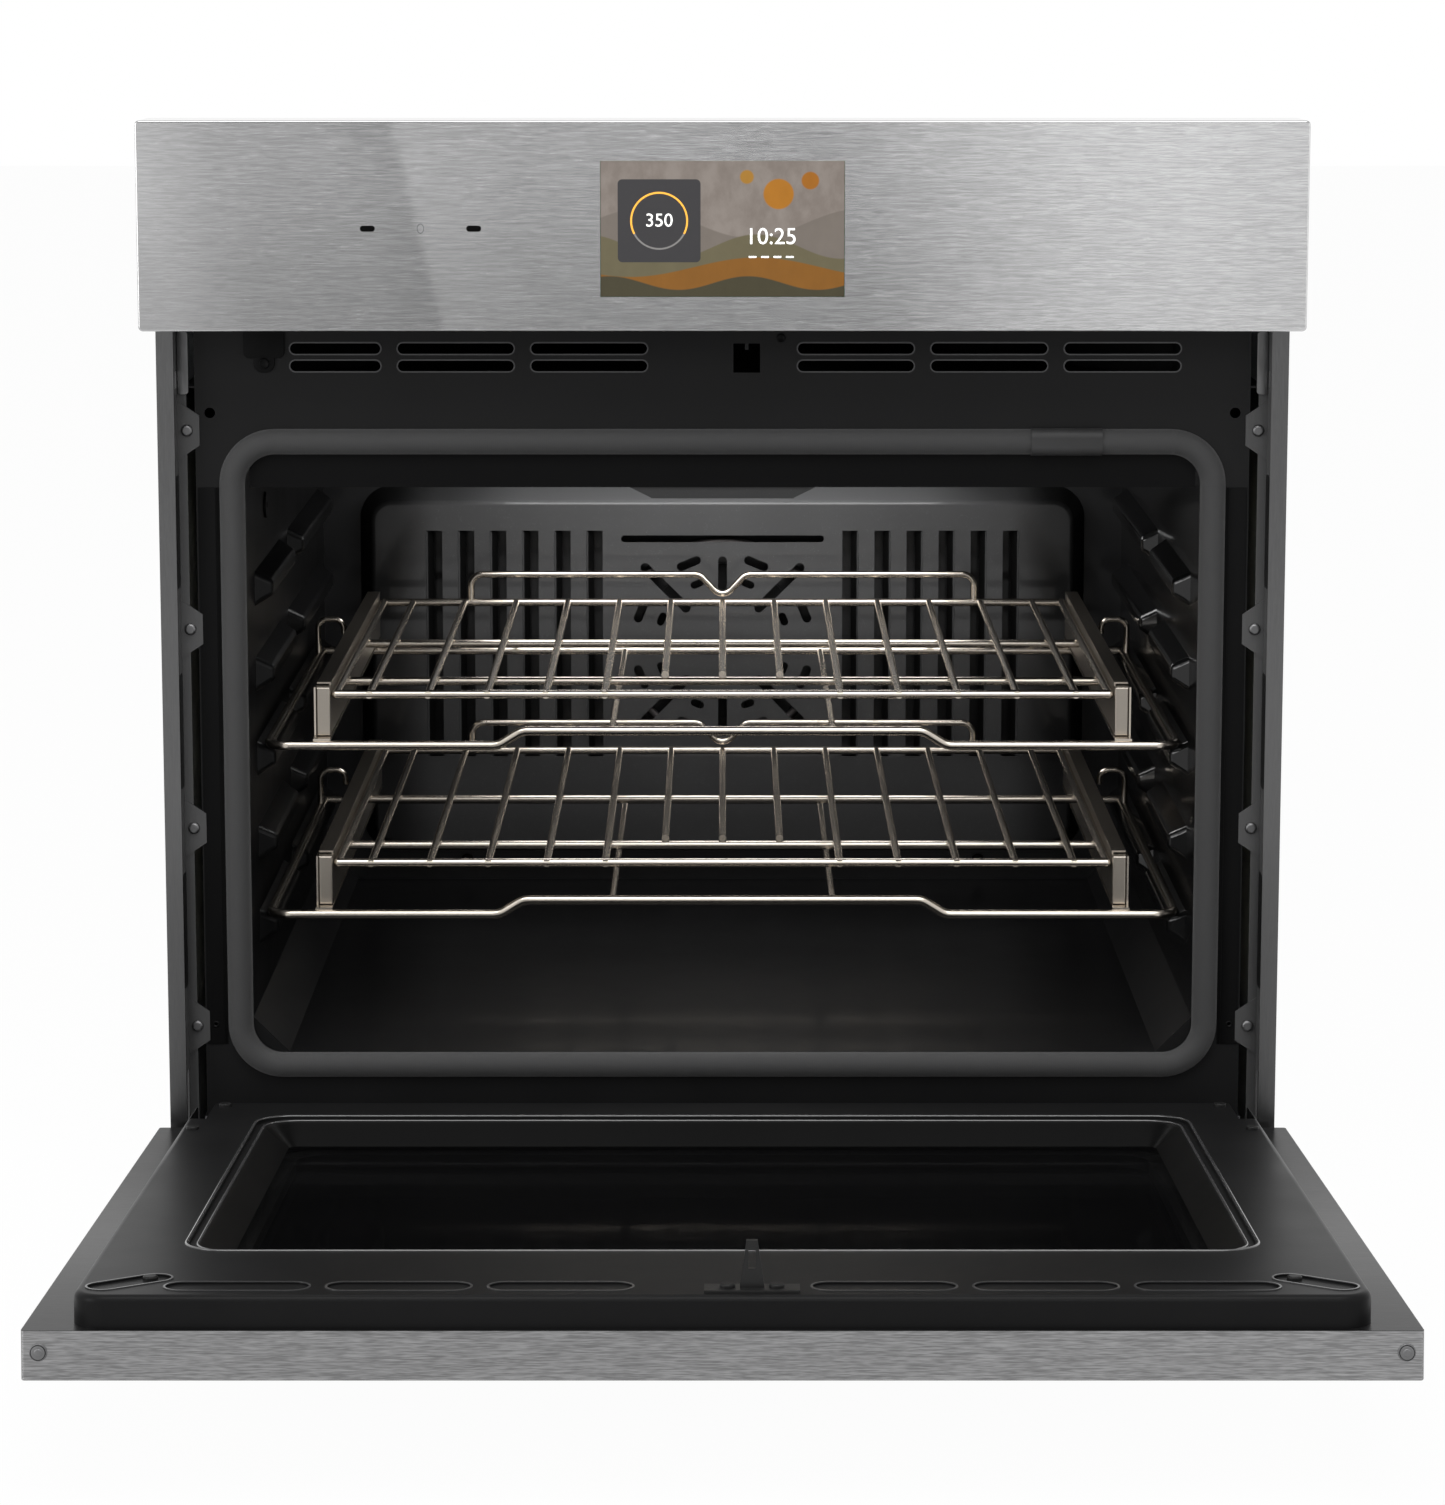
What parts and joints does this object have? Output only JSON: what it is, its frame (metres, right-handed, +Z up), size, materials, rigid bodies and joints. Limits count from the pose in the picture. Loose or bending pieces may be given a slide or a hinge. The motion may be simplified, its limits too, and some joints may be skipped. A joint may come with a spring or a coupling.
{
  "type": "built-in wall oven",
  "caption": "Built-in wall oven with a drop-down glazed door, ribbed convection cavity, sliding wire racks and a brushed steel touch-screen control panel above.",
  "frame": {"origin": "middle of the case's underside, on its base face", "axes": "+Z up, -Y out of the cavity mouth towards the user, +X to the user's right facing the oven"},
  "size_m": [0.7556, 1.1919, 0.727],
  "materials": {
    "panel_steel": "horizontally brushed",
    "screen_face": "glossy touch surface",
    "door_steel": "horizontally brushed",
    "trim_steel": "satin",
    "frame_enamel": "satin enamel",
    "cavity_enamel": "semi-gloss enamel",
    "liner_enamel": "gloss enamel",
    "gasket_weave": "woven",
    "rack_wire": "bright wire",
    "rail_steel": "satin",
    "case_steel": "zinc coated sheet",
    "hinge_steel": "zinc coated",
    "black_steel": "black coated",
    "rivet_steel": "bright",
    "door_glass": "clear, dark behind",
    "clear_glass": "clear",
    "blanket": "fibre blanket",
    "board_green": "solder mask",
    "motor_paint": "matt",
    "element_sheath": "oxidised sheath",
    "fan_aluminium": "stamped",
    "black_plastic": "matt",
    "lamp_ceramic": "unglazed"
  },
  "bodies": {
    "case": {"base_pan": "case_steel", "right_side_panel": "case_steel", "left_side_panel": "case_steel", "top_cover": "case_steel", "rear_panel": "case_steel", "case_screws": "rivet_steel", "conduit_gland": "black_plastic", "front_frame": "frame_enamel", "right_side_trim": "trim_steel", "left_side_trim": "trim_steel", "trim_rivets": "rivet_steel", "bottom_trim": "trim_steel", "door_gasket": "gasket_weave", "gasket_sleeve": "gasket_weave", "cavity_right_wall": "cavity_enamel", "cavity_left_wall": "cavity_enamel", "cavity_floor": "cavity_enamel", "cavity_ceiling": "cavity_enamel", "cavity_rear_wall": "cavity_enamel", "top_valance": "frame_enamel", "probe_jack": "rivet_steel", "temperature_sensor": "rail_steel", "convection_cover": "cavity_enamel", "fan_motor": "motor_paint", "ring_element": "element_sheath", "broil_element": "element_sheath", "bake_element": "element_sheath", "lamp_holder": "lamp_ceramic", "lamp_bulb": "clear_glass", "lamp_lens": "clear_glass", "insulation": "blanket", "service_shelf": "case_steel", "blower_housing": "case_steel", "blower_motor": "motor_paint", "power_board": "board_green", "control_panel": "panel_steel", "display_screen": "screen_face", "control_board": "board_green", "panel_bracket": "case_steel", "latch_bracket": "case_steel", "hinge_arms": "hinge_steel", "hinge_receivers": "hinge_steel", "rack_frames": "rack_wire"},
    "door": {"door_tray": "door_steel", "door_liner": "liner_enamel", "inner_glass": "door_glass", "middle_glass": "door_glass", "outer_glass": "door_glass", "glass_frame": "black_steel", "door_strike": "black_steel", "door_screws": "black_steel", "hinge_channels": "hinge_steel", "hinge_pins": "hinge_steel"},
    "upper_rack": {"upper_rack_grid": "rack_wire", "upper_rack_rails": "rail_steel"},
    "lower_rack": {"lower_rack_grid": "rack_wire", "lower_rack_rails": "rail_steel"},
    "convection_rotor": {"convection_fan": "fan_aluminium"},
    "blower_rotor": {"blower_wheel": "black_plastic"},
    "latch": {"latch_hook": "hinge_steel"}
  },
  "joints": [
    {"name": "door_hinge", "type": "hinge", "parent": "case", "child": "door", "pos_m": [0, -0.3417, 0.0379], "axis": [-1, 0, 0], "range_deg": [0, 85.3]},
    {"name": "upper_rack_slide", "type": "slide", "parent": "case", "child": "upper_rack", "axis": [0, 1, 0], "range_m": [-0.3, 0]},
    {"name": "lower_rack_slide", "type": "slide", "parent": "case", "child": "lower_rack", "axis": [0, 1, 0], "range_m": [-0.3, 0]},
    {"name": "convection_fan_spin", "type": "hinge", "parent": "case", "child": "convection_rotor", "pos_m": [0, 0.24, 0.293], "axis": [0, 1, 0], "continuous": true},
    {"name": "cooling_fan_spin", "type": "hinge", "parent": "case", "child": "blower_rotor", "pos_m": [0, 0.089, 0.57], "axis": [0, 0, 1], "continuous": true},
    {"name": "latch_swing", "type": "hinge", "parent": "case", "child": "latch", "pos_m": [0.016, -0.2515, 0.585], "axis": [1, 0, 0], "range_deg": [0, 15]}
  ]
}
